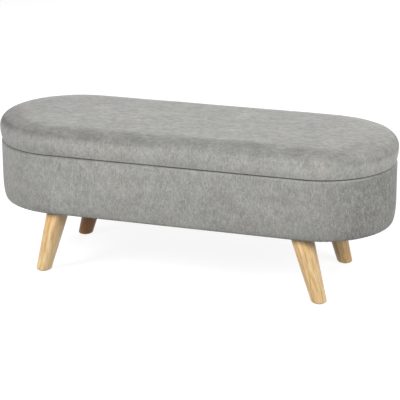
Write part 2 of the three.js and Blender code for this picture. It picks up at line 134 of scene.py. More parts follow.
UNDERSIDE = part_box("dust_cover")[0].z
LEG_TOP_RADIUS = 31 * MM
LEG_FOOT_RADIUS = 21.5 * MM
LEG_FOOT_ROUNDING = 5 * MM
LEG_CHAMFER = 0.8 * MM
BOLT_RADIUS = 4 * MM
BOLT_IN_LEG = 36 * MM
BOLT_POINT = 8 * MM
BOLT_ABOVE_NECK = 24 * MM
WOOD_THREAD = {"pitch": 3 * MM, "depth": 0.9 * MM}
BOLT_THREAD = {"pitch": 1.25 * MM, "depth": 0.4 * MM}
DRILL_POINT = 6 * MM
PEG_DRILL_POINT = 2 * MM
LEG_CREASE = 50
GRAIN_SHIFT_X = 0.21
GRAIN_SHIFT_Y = 0.13
PEG_RADIUS = 1.6 * MM
PEG_LENGTH = 11 * MM
GLIDE_THICKNESS = 2.5 * MM
NUT_BARREL_RADIUS = 5.5 * MM
NUT_FLANGE = 1.6 * MM

HINGE_LENGTH = 70 * MM
KNUCKLE_RADIUS = 3.2 * MM
KNUCKLE_ROUNDING = 0.3 * MM
PIN_RADIUS = 1.5 * MM
PIN_HEAD_RADIUS = 2.6 * MM
PIN_HEAD = 1.2 * MM
LEAF = 1.05 * MM
LEAF_CORNER = 3 * MM
LEAF_EASING = 0.15 * MM
MIDDLE_KNUCKLE = [(-12 * MM, 12 * MM)]
OUTER_KNUCKLES = [(-35 * MM, -12.3 * MM), (12.3 * MM, 35 * MM)]
SCREW_LENGTH = 13 * MM
SCREW_POINT = 2.5 * MM
SCREW_THREAD = {"pitch": 1.4 * MM, "depth": 0.4 * MM}
SCREW_RADIUS = 1.6 * MM
SCREW_HEAD_RADIUS = 3.5 * MM
SCREW_HEAD = 2 * MM
SLOT_HALF_LENGTH = 2 * MM
SLOT_HALF_WIDTH = 0.4 * MM
SLOT_DEPTH = 1.2 * MM

STAPLE_CROWN = 10 * MM
STAPLE_LEG = 4 * MM
STAPLE_BEND = 0.3 * MM
STAPLE_WIRE = 0.6 * MM
STAPLE_WIDTH = 1.0 * MM
STAPLE_INSET = 6 * MM
STAPLE_SPACING = 46 * MM
LINING_STAPLE_DROP = 5 * MM
LINING_STAPLE_SPACING = 42 * MM
BUMPER_ROUNDING = 0.9 * MM

# ------ camera, light and floor

CAMERA_AZIMUTH = 18.05
CAMERA_ELEVATION = 18.91
CAMERA_ROLL = -0.20
CAMERA_DISTANCE = 4.155
CAMERA_TARGET = Vector((0.0121, 0.0077, 0.1942))
CAMERA_LENS = 134.7
LIGHT_TARGET = Vector((0, 0, 0.25))
FLOOR_REACH = 30


def direction_from(azimuth, elevation):
    """Unit vector towards that azimuth, 0 in front and 90 at the right, and elevation."""
    a = math.radians(azimuth)
    e = math.radians(elevation)
    return Vector((math.sin(a) * math.cos(e), -math.cos(a) * math.cos(e), math.sin(e)))


def aim(obj, target, azimuth, elevation, distance):
    """Puts a camera or light that far from its target, which it looks at."""
    back = direction_from(azimuth, elevation)
    obj.location = target + back * distance
    obj.rotation_mode = "QUATERNION"
    obj.rotation_quaternion = (-back).to_track_quat("-Z", "Y")
    bpy.context.scene.collection.objects.link(obj)


def add_camera():
    data = bpy.data.cameras.new("camera")
    data.lens = CAMERA_LENS
    data.sensor_width = 36
    data.clip_end = 100
    camera = bpy.data.objects.new("camera", data)
    aim(camera, CAMERA_TARGET, CAMERA_AZIMUTH, CAMERA_ELEVATION, CAMERA_DISTANCE)
    roll = Quaternion((0, 0, 1), math.radians(CAMERA_ROLL))
    camera.rotation_quaternion = camera.rotation_quaternion @ roll
    bpy.context.scene.camera = camera


def add_area_light(name, azimuth, elevation, distance, size, brightness):
    """A square soft light. brightness is what it adds to a white surface that faces it."""
    data = bpy.data.lights.new(name, "AREA")
    data.shape = "SQUARE"
    data.size = size
    data.energy = brightness * math.pi**2 * distance**2
    aim(bpy.data.objects.new(name, data), LIGHT_TARGET, azimuth, elevation, distance)


def add_world(below, above):
    """Soft white surroundings, which brighten from straight below to straight above."""
    world = bpy.data.worlds.new("studio")
    world.use_nodes = True
    nodes = Nodes(world.node_tree)
    height = nodes.part(nodes.add("TexCoord", {})["Generated"], "Z")
    light = {"Color": (1, 1, 1, 1), "Strength": nodes.spread(height, -1, 1, below, above)}
    nodes.feed(world.node_tree.nodes["Background"].inputs, light)
    bpy.context.scene.world = world


def add_floor():
    """A white sweep that throws no light back up, so that the bench's underside stays in shade."""
    reach = FLOOR_REACH
    corners = [(-reach, -reach, 0), (reach, -reach, 0), (reach, reach, 0), (-reach, reach, 0)]
    floor = piece("floor", corners, [(0, 1, 2, 3)], studio_floor())
    floor.visible_diffuse = False


# ------ material nodes


class Nodes:
    """A node tree. Its methods add nodes to it and return the last one's output."""

    def __init__(self, tree):
        self.tree = tree

    def feed(self, sockets, values):
        """Links or sets the sockets, which values holds by name or number."""
        for key, value in values.items():
            if isinstance(value, bpy.types.NodeSocket):
                self.tree.links.new(value, sockets[key])
            else:
                sockets[key].default_value = value

    def add(self, kind, inputs, **settings):
        """Adds a node with those settings and inputs, and returns its outputs."""
        node = self.tree.nodes.new("ShaderNode" + kind)
        for name, value in settings.items():
            setattr(node, name, value)
        self.feed(node.inputs, inputs)
        return node.outputs

    def part(self, vector, axis):
        return self.add("SeparateXYZ", {"Vector": vector})[axis]

    def math(self, operation, first, second=0.0):
        return self.add("Math", {0: first, 1: second}, operation=operation)["Value"]

    def total(self, first, *others):
        for other in others:
            first = self.math("ADD", first, other)
        return first

    def product(self, first, *others):
        for other in others:
            first = self.math("MULTIPLY", first, other)
        return first

    def mixture(self, *pairs):
        """The sum of each value times its weight."""
        return self.total(*(self.product(value, weight) for value, weight in pairs))

    def swayed(self, middle, *pairs):
        """middle, plus how far each value is from a half times its weight."""
        away = [(self.math("SUBTRACT", value, 0.5), weight) for value, weight in pairs]
        return self.total(self.mixture(*away), middle)

    def spread(self, value, low, high, to_low=0.0, to_high=1.0):
        """value carried smoothly from the range low to high into the range to_low to to_high."""
        inputs = dict(enumerate((value, low, high, to_low, to_high)))
        return self.add("MapRange", inputs, interpolation_type="SMOOTHSTEP")["Result"]

    def blend(self, share, first, second):
        return self.add("Mix", {0: share, 2: first, 3: second}, data_type="FLOAT")[0]

    def tint(self, share, first, second, how="MIX"):
        """One colour laid over another."""
        inputs = {0: share, 6: first, 7: second}
        return self.add("Mix", inputs, data_type="RGBA", blend_type=how)[2]

    def ramp(self, value, stops):
        """Colours by value. stops holds (place, linear colour)."""
        node = self.tree.nodes.new("ShaderNodeValToRGB")
        elements = node.color_ramp.elements
        while len(elements) < len(stops):
            elements.new(0.5)
        for element, (place, colour) in zip(elements, stops):
            element.position = place
            element.color = (*colour, 1)
        self.feed(node.inputs, {"Fac": value})
        return node.outputs["Color"]

    def bump(self, height, distance, strength, under=None):
        inputs = {"Height": height, "Distance": distance, "Strength": strength}
        if under is not None:
            inputs["Normal"] = under
        return self.add("Bump", inputs)["Normal"]


class Surface(Nodes):
    """One procedural material."""

    def __init__(self, name):
        self.material = bpy.data.materials.new(name)
        self.material.use_nodes = True
        super().__init__(self.material.node_tree)
        coordinates = self.add("TexCoord", {})
        self.place = coordinates["Object"]
        self.facing = self.part(coordinates["Normal"], "Z")

    def attribute(self, name):
        return self.add("Attribute", {}, attribute_name=name)["Vector"]

    def pattern(self, kind, scale, inputs, place=None, **settings):
        """A texture over the object, or over another place. scale is in features per metre, for
        each axis or for all."""
        scales = scale if isinstance(scale, tuple) else (scale, scale, scale)
        mapping = {"Vector": self.place if place is None else place, "Scale": scales}
        scaled = self.add("Mapping", mapping)["Vector"]
        return self.add("Tex" + kind, {"Vector": scaled, "Scale": 1.0, **inputs}, **settings)

    def noise(self, scale, detail=3.0, roughness=0.55, distortion=0.0, place=None):
        inputs = {"Detail": detail, "Roughness": roughness, "Distortion": distortion}
        return self.pattern("Noise", scale, inputs, place)["Fac"]

    def cells(self, scale):
        return self.pattern("Voronoi", scale, {})["Distance"]

    def bands(self, scale, distortion):
        return self.pattern("Wave", scale, {"Distortion": distortion}, bands_direction="Z")["Fac"]

    def finish(self, colour, roughness, normal=None, **constants):
        """Feeds the shader and returns the material. constants are set on the shader's sockets."""
        inputs = {"Base Color": colour, "Roughness": roughness}
        if normal is not None:
            inputs["Normal"] = normal
        for name, value in constants.items():
            inputs[name.replace("_", " ")] = value
        self.feed(self.tree.nodes["Principled BSDF"].inputs, inputs)
        return self.material


def linear(red, green, blue):
    """A colour given as sRGB numbers up to 255, in linear light."""

    def one(value):
        share = value / 255
        return share / 12.92 if share <= 0.04045 else ((share + 0.055) / 1.055) ** 2.4

    return (one(red), one(green), one(blue))


def shade(colour, factor):
    return tuple(channel * factor for channel in colour)


# ------ materials

CHENILLE_GREY = linear(149, 149, 145)
LID_BORDER_BLEND = 4 * MM
CRUSH_AND_SHEEN_SHADE_BAND = 69 * MM
RAGGED_EDGE = 90 * MM
# How far below the underside the legs' painted light reaches.
PAINTED_LIGHT_REACH = 75 * MM


def chenille_nap(s, past_left, past_right, z, on_top):
    """The pile's slubs, which run along the seat and down the sides, with wisps where it is crushed
    at the box's ends. Returns the pattern and how crushed each place is, which also sets painted
    shade at the ends."""
    top_slubs = s.noise((50, 130, 130), detail=5.0, roughness=0.7, distortion=0.3)
    side_slubs = s.noise((240, 240, 80), detail=4.0, roughness=0.68, distortion=0.9)
    slubs = s.blend(on_top, side_slubs, top_slubs)
    wisps = s.noise((180, 180, 74), roughness=0.6, distortion=1.7)
    right_end = s.spread(past_right, 20 * MM, 150 * MM)
    left_end = s.spread(past_left, 0.0, 150 * MM, 0.0, 0.4)
    on_box = s.spread(z, SEAT_TOP, BOX_TOP - 60 * MM)
    upright = s.math("SUBTRACT", 1.0, on_top)
    crush_and_end_shade = s.product(s.total(right_end, left_end), upright, on_box)
    return s.blend(crush_and_end_shade, slubs, s.spread(wisps, 0.08, 0.94)), crush_and_end_shade


def chenille_painted_light(s, past_left, past_right, z, crush_and_end_shade):
    """Painted light and shade on the pile: painted shade in a ragged band round the front of the
    seat, where the pile's sheen turns from the light and some pile is pressed flat, painted shade
    at the ends and towards the left, and painted light down the lid's side."""
    y = s.part(s.place, "Y")
    past_end = s.math("MAXIMUM", s.math("MAXIMUM", past_left, past_right), 0.0)
    squares = s.total(s.math("POWER", past_end, 2.0), s.math("POWER", y, 2.0))
    breaks = s.noise((11, 16, 16), detail=4.0, roughness=0.62, distortion=0.6)
    out = s.swayed(s.math("SQRT", squares), (breaks, RAGGED_EDGE))
    front = s.product(s.spread(y, 60 * MM, -60 * MM), s.spread(past_right, 220 * MM, 20 * MM))
    # pressed is painted shade: a dark band round the front roll where the pile's sheen turns from
    # the light, with some pile pressed flat there.
    pressed = s.product(
        s.spread(out, LID_RADIUS - CRUSH_AND_SHEEN_SHADE_BAND, LID_RADIUS - CRUSH_AND_SHEEN_SHADE_BAND / 2),
        front,
        s.spread(s.facing, 0.24, 0.64),
        s.spread(breaks, 0.36, 0.62, 0.6, 1.0),
    )
    # Painted light: the lid's lower side, which faces down into shade, is painted lighter, more so
    # towards the ends.
    painted_light_by_end = s.total(
        s.spread(past_left, 50 * MM, -200 * MM, 0.03, 0.22),
        s.spread(past_right, -HALF_STRAIGHT, 150 * MM, 0.0, 0.32),
    )
    on_lid = s.spread(z, BOX_TOP, BOX_TOP + LID_BORDER_BLEND)
    painted_side_light = s.product(on_lid, s.spread(s.facing, 0.2, -0.16), painted_light_by_end)
    # rolled is painted shade on the front roll towards the left end, where the front left lamp
    # lights it most.
    rolled = s.product(
        s.spread(s.facing, 0.0, 0.35),
        s.spread(s.facing, 0.95, 0.7),
        s.spread(past_left, -HALF_STRAIGHT - 150 * MM, 0.0, 0.0, 0.20),
        front,
    )
    left_shade = s.spread(past_left, -80 * MM, 120 * MM, 0.0, 0.11)
    # darker sums painted shade: at the box's ends (where the pile is also crushed), towards the
    # left end, on the front roll at the left, and in the band round the front.
    darker = s.mixture((crush_and_end_shade, 0.072), (left_shade, 0.8), (rolled, 0.8), (pressed, 0.30))
    return s.math("SUBTRACT", s.total(s.product(painted_side_light, 0.8), 1.0), darker)


def chenille():
    """Short grey pile with mottled patches, and painted light and shade over it."""
    s = Surface("grey_chenille")
    x = s.part(s.place, "X")
    z = s.part(s.place, "Z")
    past_left = s.math("SUBTRACT", -HALF_STRAIGHT, x)
    past_right = s.math("SUBTRACT", x, HALF_STRAIGHT)
    on_top = s.spread(s.math("ABSOLUTE", s.facing), 0.55, 0.9)
    nap, crush_and_end_shade = chenille_nap(s, past_left, past_right, z, on_top)
    yarn = s.noise(420, roughness=0.8)
    mottle = s.noise((66, 74, 58), roughness=0.6, distortion=0.8)
    patches = s.noise((13, 17, 16), distortion=0.5)
    tone = s.swayed(0.5, (nap, 1.5), (mottle, 0.65), (patches, 0.5), (yarn, 1.3))
    # Painted shade: the seat's top is painted darker, toning down the light that falls on it.
    tone = s.math("SUBTRACT", tone, s.product(on_top, 0.13))
    greys = [
        (0.0, shade(CHENILLE_GREY, 0.60)),
        (0.5, CHENILLE_GREY),
        (1.0, shade(CHENILLE_GREY, 1.45)),
    ]
    # light holds the painted light and shade, which is multiplied into the colour below.
    light = chenille_painted_light(s, past_left, past_right, z, crush_and_end_shade)
    colour = s.tint(1.0, s.ramp(tone, greys), light, "MULTIPLY")
    warm = s.spread(s.noise(9, detail=2.0), 0.42, 0.66, 0.0, 0.6)
    colour = s.tint(warm, colour, (1.0, 0.965, 0.95, 1), "MULTIPLY")
    pile = s.bump(yarn, 0.5 * MM, 0.5)
    normal = s.bump(nap, 1.0 * MM, 0.6, under=pile)
    sheen = {"Sheen_Weight": 0.25, "Sheen_Roughness": 0.5}
    return s.finish(colour, 0.95, normal, Specular_IOR_Level=0.15, **sheen)


def non_woven():
    """Black spun-bonded cloth: tangled fibres pressed flat by a grid of small dots."""
    s = Surface("black_non_woven")
    fibres = s.noise((1500, 420, 1500), roughness=0.7, distortion=1.5)
    dots = s.spread(s.cells(520), 0.12, 0.36)
    cloudy = s.noise(60)
    tone = s.mixture((fibres, 0.5), (dots, 0.25), (cloudy, 0.25))
    blacks = [(0.2, linear(30, 30, 32)), (0.55, linear(44, 44, 46)), (0.9, linear(66, 66, 68))]
    normal = s.bump(tone, 0.25 * MM, 0.7)
    return s.finish(s.ramp(tone, blacks), 0.85, normal, Specular_IOR_Level=0.3)


def foam():
    """Cream open-cell foam."""
    s = Surface("cream_foam")
    pores = s.cells(900)
    cloudy = s.noise(25, detail=2.0)
    tone = s.mixture((pores, 0.7), (cloudy, 0.4))
    creams = [
        (0.1, linear(190, 178, 140)),
        (0.5, linear(226, 216, 184)),
        (1.0, linear(238, 230, 204)),
    ]
    return s.finish(s.ramp(tone, creams), 0.95, s.bump(pores, 0.4 * MM, 0.8))


def plywood():
    """Poplar plywood: long face grain, and thin plies that show on the sawn edges."""
    s = Surface("plywood")
    on_face = s.spread(s.math("ABSOLUTE", s.facing), 0.4, 0.7)
    grain = s.noise((5, 130, 130), detail=5.0, roughness=0.6, distortion=0.8)
    plies = s.bands((0, 0, 180), distortion=0.6)
    pores = s.noise((60, 1400, 1400), detail=2.0)
    tone = s.swayed(s.blend(on_face, s.product(plies, 0.8), grain), (pores, 0.3))
    woods = [
        (0.2, linear(158, 122, 80)),
        (0.5, linear(202, 168, 120)),
        (0.85, linear(222, 196, 152)),
    ]
    return s.finish(s.ramp(tone, woods), 0.7, s.bump(tone, 0.2 * MM, 0.5))


def rubberwood(name, painted_shade_tint):
    """Lacquered rubberwood times a tint that is painted shade where a leg stands in shade, its
    grain and dark pores running down the leg, which is painted lighter at its top, painted light
    against the box's shadow."""
    s = Surface(name)
    along = s.attribute("grain")
    grain = s.noise((110, 110, 9.0), detail=5.0, roughness=0.62, distortion=1.6, place=along)
    broad = s.noise((42, 42, 5.0), detail=2.0, distortion=1.0, place=along)
    pores = s.noise((700, 700, 26), detail=2.0, roughness=0.6, place=along)
    tone = s.spread(s.mixture((grain, 0.62), (broad, 0.38)), 0.30, 0.70)
    woods = [
        (0.12, linear(192, 148, 94)),
        (0.38, linear(209, 171, 116)),
        (0.60, linear(220, 186, 133)),
        (0.90, linear(234, 206, 156)),
    ]
    specks = s.spread(pores, 0.60, 0.74, 0.0, 0.3)
    colour = s.tint(specks, s.ramp(tone, woods), (*linear(150, 112, 70), 1))
    # The tint is painted shade: below one, it darkens the whole leg as if it stood in shade.
    colour = s.tint(1.0, colour, (*painted_shade_tint, 1), "MULTIPLY")
    # Painted light: the top of the leg is painted up to 22% lighter, against the box's shadow
    # there.
    painted_top_light = s.spread(s.part(along, "Z"), UNDERSIDE - PAINTED_LIGHT_REACH, UNDERSIDE, 1.0, 1.22)
    colour = s.tint(1.0, colour, painted_top_light, "MULTIPLY")
    normal = s.bump(s.math("SUBTRACT", grain, specks), 0.12 * MM, 0.4)
    roughness = s.spread(grain, 0.2, 0.8, 0.38, 0.5)
    return s.finish(colour, roughness, normal, Coat_Weight=0.15, Coat_Roughness=0.35)


def zinc_steel():
    """Bright zinc plating, faintly clouded and brushed."""
    s = Surface("zinc_steel")
    clouds = s.noise(160)
    brushing = s.noise((120, 4000, 4000), detail=2.0)
    tone = s.mixture((clouds, 0.6), (brushing, 0.4))
    colour = s.ramp(tone, [(0.3, linear(168, 170, 174)), (0.7, linear(208, 210, 212))])
    roughness = s.spread(tone, 0.3, 0.7, 0.42, 0.24)
    return s.finish(colour, roughness, s.bump(brushing, 0.02 * MM, 0.15), Metallic=1.0)


def moulded(name, colour, roughness):
    """Moulded nylon or rubber: a fine satin grain with slightly worn, lighter patches."""
    s = Surface(name)
    grain = s.noise(1800, detail=2.0)
    wear = s.noise(130)
    tone = s.mixture((grain, 0.4), (wear, 0.6))
    tint = s.ramp(tone, [(0.3, shade(colour, 0.85)), (0.7, shade(colour, 1.2))])
    return s.finish(tint, roughness, s.bump(grain, 0.08 * MM, 0.6))


def studio_floor():
    """A white sweep that glows a little, so that shadows on it stay pale."""
    s = Surface("studio_floor")
    soft = s.noise(0.6, detail=1.0)
    colour = s.ramp(soft, [(0.0, (0.26, 0.26, 0.26)), (1.0, (0.28, 0.28, 0.28))])
    glow = {"Emission_Color": (1, 1, 1, 1), "Emission_Strength": 0.86}
    return s.finish(colour, 1.0, Specular_IOR_Level=0.0, **glow)


# ------ mesh tools


def piece(name, vertices, faces, material):
    """A smooth-shaded mesh object whose faces all point outwards."""
    mesh = bpy.data.meshes.new(name)
    mesh.from_pydata([tuple(v) for v in vertices], [], faces)
    mesh.materials.append(material)
    work = bmesh.new()
    work.from_mesh(mesh)
    bmesh.ops.remove_doubles(work, verts=work.verts, dist=0.01 * MM)
    bmesh.ops.recalc_face_normals(work, faces=work.faces)
    work.to_mesh(mesh)
    work.free()
    mesh.shade_smooth()
    obj = bpy.data.objects.new(name, mesh)
    bpy.context.scene.collection.objects.link(obj)
    return obj


def settle(obj):
    """Applies the object's modifiers to its mesh."""
    depsgraph = bpy.context.evaluated_depsgraph_get()
    mesh = bpy.data.meshes.new_from_object(obj.evaluated_get(depsgraph))
    obj.modifiers.clear()
    obj.data = mesh
    return obj


def crease_sharp_edges(obj, angle=SHARP):
    obj.data.set_sharp_from_angle(angle=math.radians(angle))


def ease_edges(obj, width):
    bevel = obj.modifiers.new("eased edges", "BEVEL")
    bevel.width = width
    bevel.segments = 2
    bevel.limit_method = "ANGLE"
    bevel.angle_limit = math.radians(50)


def thicken(obj, thickness):
    """Gives a skin its thickness, inwards."""
    solidify = obj.modifiers.new("thickness", "SOLIDIFY")
    solidify.thickness = thickness
    solidify.offset = -1
    solidify.use_even_offset = True
    return settle(obj)


def carve(obj, cutters):
    """Takes the cutters out of the piece, and removes them."""
    for cutter in cutters:
        difference = obj.modifiers.new("cut", "BOOLEAN")
        difference.operation = "DIFFERENCE"
        difference.solver = "EXACT"
        difference.object = cutter
    settle(obj)
    for cutter in cutters:
        bpy.data.objects.remove(cutter)
    return obj


def joined(name, objects):
    """Several objects as one piece."""
    bpy.ops.object.select_all(action="DESELECT")
    for obj in objects:
        obj.select_set(True)
    bpy.context.view_layer.objects.active = objects[0]
    bpy.ops.object.join()
    objects[0].name = name
    return objects[0]


def stands_for(obj, body, node, crease=None):
    """Puts the piece in its node's place, creased from that angle between faces up."""
    if crease is not None:
        crease_sharp_edges(obj, crease)
    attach(obj, body)
    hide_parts(node)


def steps_between(first, last, spacing):
    """Points from first up to but not including last, about that far apart."""
    first = Vector(first)
    last = Vector(last)
    count = max(1, round((last - first).length / spacing))
    return [tuple(first.lerp(last, i / count)) for i in range(count)]


def elbow(start, end, steps, upright=False):
    """Points on a quarter of an ellipse from start up to but not including end, in (radius,
    height). It leaves start along the radius, or along the height if upright."""
    points = []
    for i in range(steps):
        angle = i / steps * math.pi / 2
        soon = math.sin(angle)
        late = 1 - math.cos(angle)
        out, up = (late, soon) if upright else (soon, late)
        points.append((start[0] + (end[0] - start[0]) * out, start[1] + (end[1] - start[1]) * up))
    return points


def stadium_columns(extra_rear=()):
    """(centre x, outward x, outward y) for each column round a stadium, anticlockwise."""
    straight = [-1 + 2 * i / STRAIGHT_COLUMNS for i in range(STRAIGHT_COLUMNS)]
    turns = [math.pi * (i / END_COLUMNS - 0.5) for i in range(END_COLUMNS)]
    rear = sorted([*(HALF_STRAIGHT * t for t in straight[1:]), HALF_STRAIGHT, *extra_rear])
    front = [(HALF_STRAIGHT * t, 0.0, -1.0) for t in straight]
    right = [(HALF_STRAIGHT, math.cos(a), math.sin(a)) for a in turns]
    back = [(x, 0.0, 1.0) for x in reversed(rear)]
    left = [(-HALF_STRAIGHT, -math.cos(a), -math.sin(a)) for a in turns]
    return [*front, *right, *back, *left]


def swept(name, section, material, columns=None, closed_section=False, whole=True):
    """A section's (radius, height) points carried round the stadium's columns. A part that isn't
    whole is capped at both ends."""
    columns = columns or stadium_columns()
    rows = len(section)
    vertices = [
        (x + radius * out_x, radius * out_y, height)
        for x, out_x, out_y in columns
        for radius, height in section
    ]
    faces = []
    spans = len(columns) if whole else len(columns) - 1
    for column in range(spans):
        here = column * rows
        there = (column + 1) % len(columns) * rows
        for row in range(rows if closed_section else rows - 1):
            above = (row + 1) % rows
            faces.append((here + row, there + row, there + above, here + above))
    if not whole:
        faces.append(tuple(range(rows)))
        faces.append(tuple(range((len(columns) - 1) * rows, len(columns) * rows)))
    return piece(name, vertices, faces, material)


def turned(name, rows, steps, material, x=0.0, y=0.0):
    """A lathed piece round the upright line at x, y. rows holds (radius, height) from one end to
    the other, and may hold (radius, height, centre x) where the line leans."""
    vertices = []
    faces = []
    for radius, height, *centre in rows:
        middle = centre[0] if centre else x
        for i in range(steps):
            angle = 2 * math.pi * i / steps
            place = (middle + radius * math.cos(angle), y + radius * math.sin(angle), height)
            vertices.append(place)
    for row in range(len(rows) - 1):
        for i in range(steps):
            j = (i + 1) % steps
            low = row * steps
            high = low + steps
            faces.append((low + i, low + j, high + j, high + i))
    return piece(name, vertices, faces, material)


# ------ cloth under pressure


def pressed_cloth(form, is_held, pressure, most):
    """Blows the closed form up as cloth that stays put where is_held(place). Returns a function
    that says how far the cloth near a point has moved, which is never further than most."""
    cloth = form.copy()
    cloth.data = form.data.copy()
    bpy.context.scene.collection.objects.link(cloth)
    remesh = cloth.modifiers.new("even mesh", "REMESH")
    remesh.mode = "VOXEL"
    remesh.voxel_size = VOXEL
    settle(cloth)
    rest = np.array([v.co for v in cloth.data.vertices])
    held = cloth.vertex_groups.new(name="held")
    held.add([i for i, point in enumerate(rest) if is_held(Vector(point))], 1.0, "REPLACE")
    blown = cloth.modifiers.new("pressure", "CLOTH")
    blown.settings.vertex_group_mass = "held"
    blown.settings.use_pressure = True
    blown.settings.uniform_pressure_force = pressure
    blown.settings.effector_weights.gravity = 0
    blown.point_cache.frame_start = 1
    blown.point_cache.frame_end = CLOTH_FRAMES
    for number in range(1, CLOTH_FRAMES + 1):
        bpy.context.scene.frame_set(number)
    depsgraph = bpy.context.evaluated_depsgraph_get()
    swollen = np.array([v.co for v in cloth.evaluated_get(depsgraph).data.vertices])
    bpy.context.scene.frame_set(1)
    bpy.data.objects.remove(cloth)

    moves = swollen - rest
    lengths = np.maximum(np.linalg.norm(moves, axis=1, keepdims=True), 1e-9)
    moves *= most * np.tanh(lengths / most) / lengths
    tree = kdtree.KDTree(len(rest))
    for index, point in enumerate(rest):
        tree.insert(point, index)
    tree.balance()

    def move_at(point):
        near = tree.find_n(point, 8)
        weights = [1 / (distance + VOXEL / 4) for _, _, distance in near]
        total = sum((moves[index] * w for (_, index, _), w in zip(near, weights)), np.zeros(3))
        return Vector(total / sum(weights))

    return move_at


def reshape(obj, *moves):
    """Moves each vertex of the piece by move_at(its place), for each move_at in turn."""
    for vertex in obj.data.vertices:
        for move_at in moves:
            vertex.co += move_at(vertex.co.copy())
    obj.data.update()
    return obj


def share(value, low, high):
    """0 at low, 1 at high, smooth between and level beyond."""
    t = min(1.0, max(0.0, (value - low) / (high - low)))
    return t * t * (3 - 2 * t)


def radius_and_way(point):
    """A point's distance from the stadium's middle line, and the way out from that line."""
    nearest = Vector((max(-HALF_STRAIGHT, min(HALF_STRAIGHT, point.x)), 0, 0))
    outward = Vector((point.x, point.y, 0)) - nearest
    return outward.length, outward.normalized()


# ------ covers and foam


def box_section(inset=0.0):
    """Up the padded box: the flap under its base, its side, the rim, and the flap inside it."""
    side = BOX_RADIUS - inset
    rim = side - RIM_LEAN
    top = BOX_TOP - inset
    low = SKIN_BOTTOM + inset
    under_edge = (side - BASE_TAPER, low)
    side_foot = (side, SKIN_BOTTOM + BASE_TAPER_HEIGHT)
    side_top = (rim, top - RIM_ROUNDING_HEIGHT)
    rim_outer = (rim - RIM_ROUNDING, top)
    inner = RIM_INNER + inset
    rim_inner = (inner + RIM_INNER_ROUNDING, top)
    flap_top = (inner, top - RIM_INNER_ROUNDING)
    flap_bottom = (inner, BOX_TOP - RIM_FLAP)
    return [
        *steps_between((BASE_FLAP, low), under_edge, ROW),
        *elbow(under_edge, side_foot, 18),
        *steps_between(side_foot, side_top, ROW),
        *elbow(side_top, rim_outer, 8, upright=True),
        *steps_between(rim_outer, rim_inner, ROW),
        *elbow(rim_inner, flap_top, 5),
        *steps_between(flap_top, flap_bottom, ROW),
        flap_bottom,
    ]


def lid_section(inset=0.0):
    """Up the padded lid: the flap under its board, its side, the rounded edge and the crown."""
    side = LID_RADIUS - inset
    low = LID_SKIN_BOTTOM + inset
    dip = low - LID_DIP
    corner = side - LID_TUCK
    edge = dip + LID_CORNER
    rises = [i / 8 for i in range(8)]
    fullest = LID_SKIN_BOTTOM + LID_FULLEST
    shoulder = SEAT_TOP - LID_CROWN - inset
    flat = side - LID_EDGE
    top_rows = round(flat / ROW)
    radii = [flat * (1 - i / top_rows) for i in range(top_rows + 1)]
    return [
        *steps_between((LID_FLAP, low), (LID_DIP_RADIUS, low), ROW),
        *steps_between((LID_DIP_RADIUS, low), (corner - LID_CORNER, dip), ROW),
        *elbow((corner - LID_CORNER, dip), (corner, edge), 5),
        *((side - LID_TUCK * (1 - t) ** 2, edge + (fullest - edge) * t) for t in rises),
        *elbow((side, fullest), (flat, shoulder), 16, upright=True),
        *((r, shoulder + LID_CROWN * (1 - (r / flat) ** 2)) for r in radii),
    ]


def closed_form(name, section, top=None):
    """The section closed into a solid form. A section that stops short of the middle line loses
    what lies inside the rim, and is closed by a flat top at that height."""
    outside = section
    if top is not None:
        outside = [*(p for p in section if p[0] > RIM_INNER), (0.0, top)]
    return swept(name, [(0.0, outside[0][1]), *outside], CREAM_FOAM)


def gathers(low, corner_radius):
    """Small pleats where the flap of a skin whose bottom is at low turns under a half-round end."""

    def move_at(point):
        beyond = abs(point.x) - HALF_STRAIGHT
        if beyond <= 0:
            return Vector()
        place = math.atan2(point.y, beyond) * BOX_RADIUS
        radius, _ = radius_and_way(point)
        start = share(beyond, 0, PLEAT_FADE)
        under = share(low + PLEAT_HEIGHT - point.z, 0, 12 * MM)
        inside = share(corner_radius + 4 * MM - radius, 0, 10 * MM) * 0.7 + 0.3
        sway = noise.noise(Vector((place * 40, point.x * 3, 0)))
        fold = math.cos(2 * math.pi * place / PLEAT_PITCH + 2.2 * sway)
        depth = PLEAT_DEPTH * (0.7 + 0.5 * noise.noise(Vector((place * 25, 7, 0))))
        return Vector((0, 0, -depth * fold * under * start * inside))

    return move_at


def undulation(size, depth, seed):
    """The slight unevenness of stretched fabric over foam, out of its surface."""

    def move_at(point):
        radius, outward = radius_and_way(point)
        value = noise.noise(point / size + Vector((seed, 0, 0)))
        upward = Vector((0, 0, 1)) if point.z > SEAT_TOP - 12 * MM else Vector()
        sideways = outward * share(radius, FLAT_WITHIN, WAVY_BEYOND)
        return (sideways + upward) * value * depth

    return move_at


def rear_seam(point):
    """The groove of the cover's closing seam, down the middle of the back."""
    if point.y < BOX_RADIUS / 2 or point.z < SKIN_BOTTOM + 3 * MM:
        return Vector()
    near = 1 - share(abs(point.x), 0, SEAM_WIDTH)
    return Vector((0, -SEAM_DEPTH * near, 0))


def outside_box_padding(point):
    """True off the padded side of the box, where its cover is stretched over board."""
    radius, _ = radius_and_way(point)
    in_band = SKIN_BOTTOM + BOX_HELD < point.z < BOX_TOP - BOX_HELD
    return not (in_band and radius > BOX_RADIUS - BASE_TAPER)


def below_lid_shoulder(point):
    return point.z < LID_SKIN_BOTTOM + LID_HELD


def swelling(form, is_held, pressure, most):
    """How far pressed cloth moves over the form, which it removes."""
    lift = pressed_cloth(form, is_held, pressure, most)
    bpy.data.objects.remove(form)
    return lift


def make_cover(body, section, columns, moves):
    cover = swept(f"{body}_cover_fabric", section, GREY_CHENILLE, columns)
    thicken(reshape(cover, *moves), FABRIC)
    stands_for(cover, body, f"{body}_cover")
    return cover


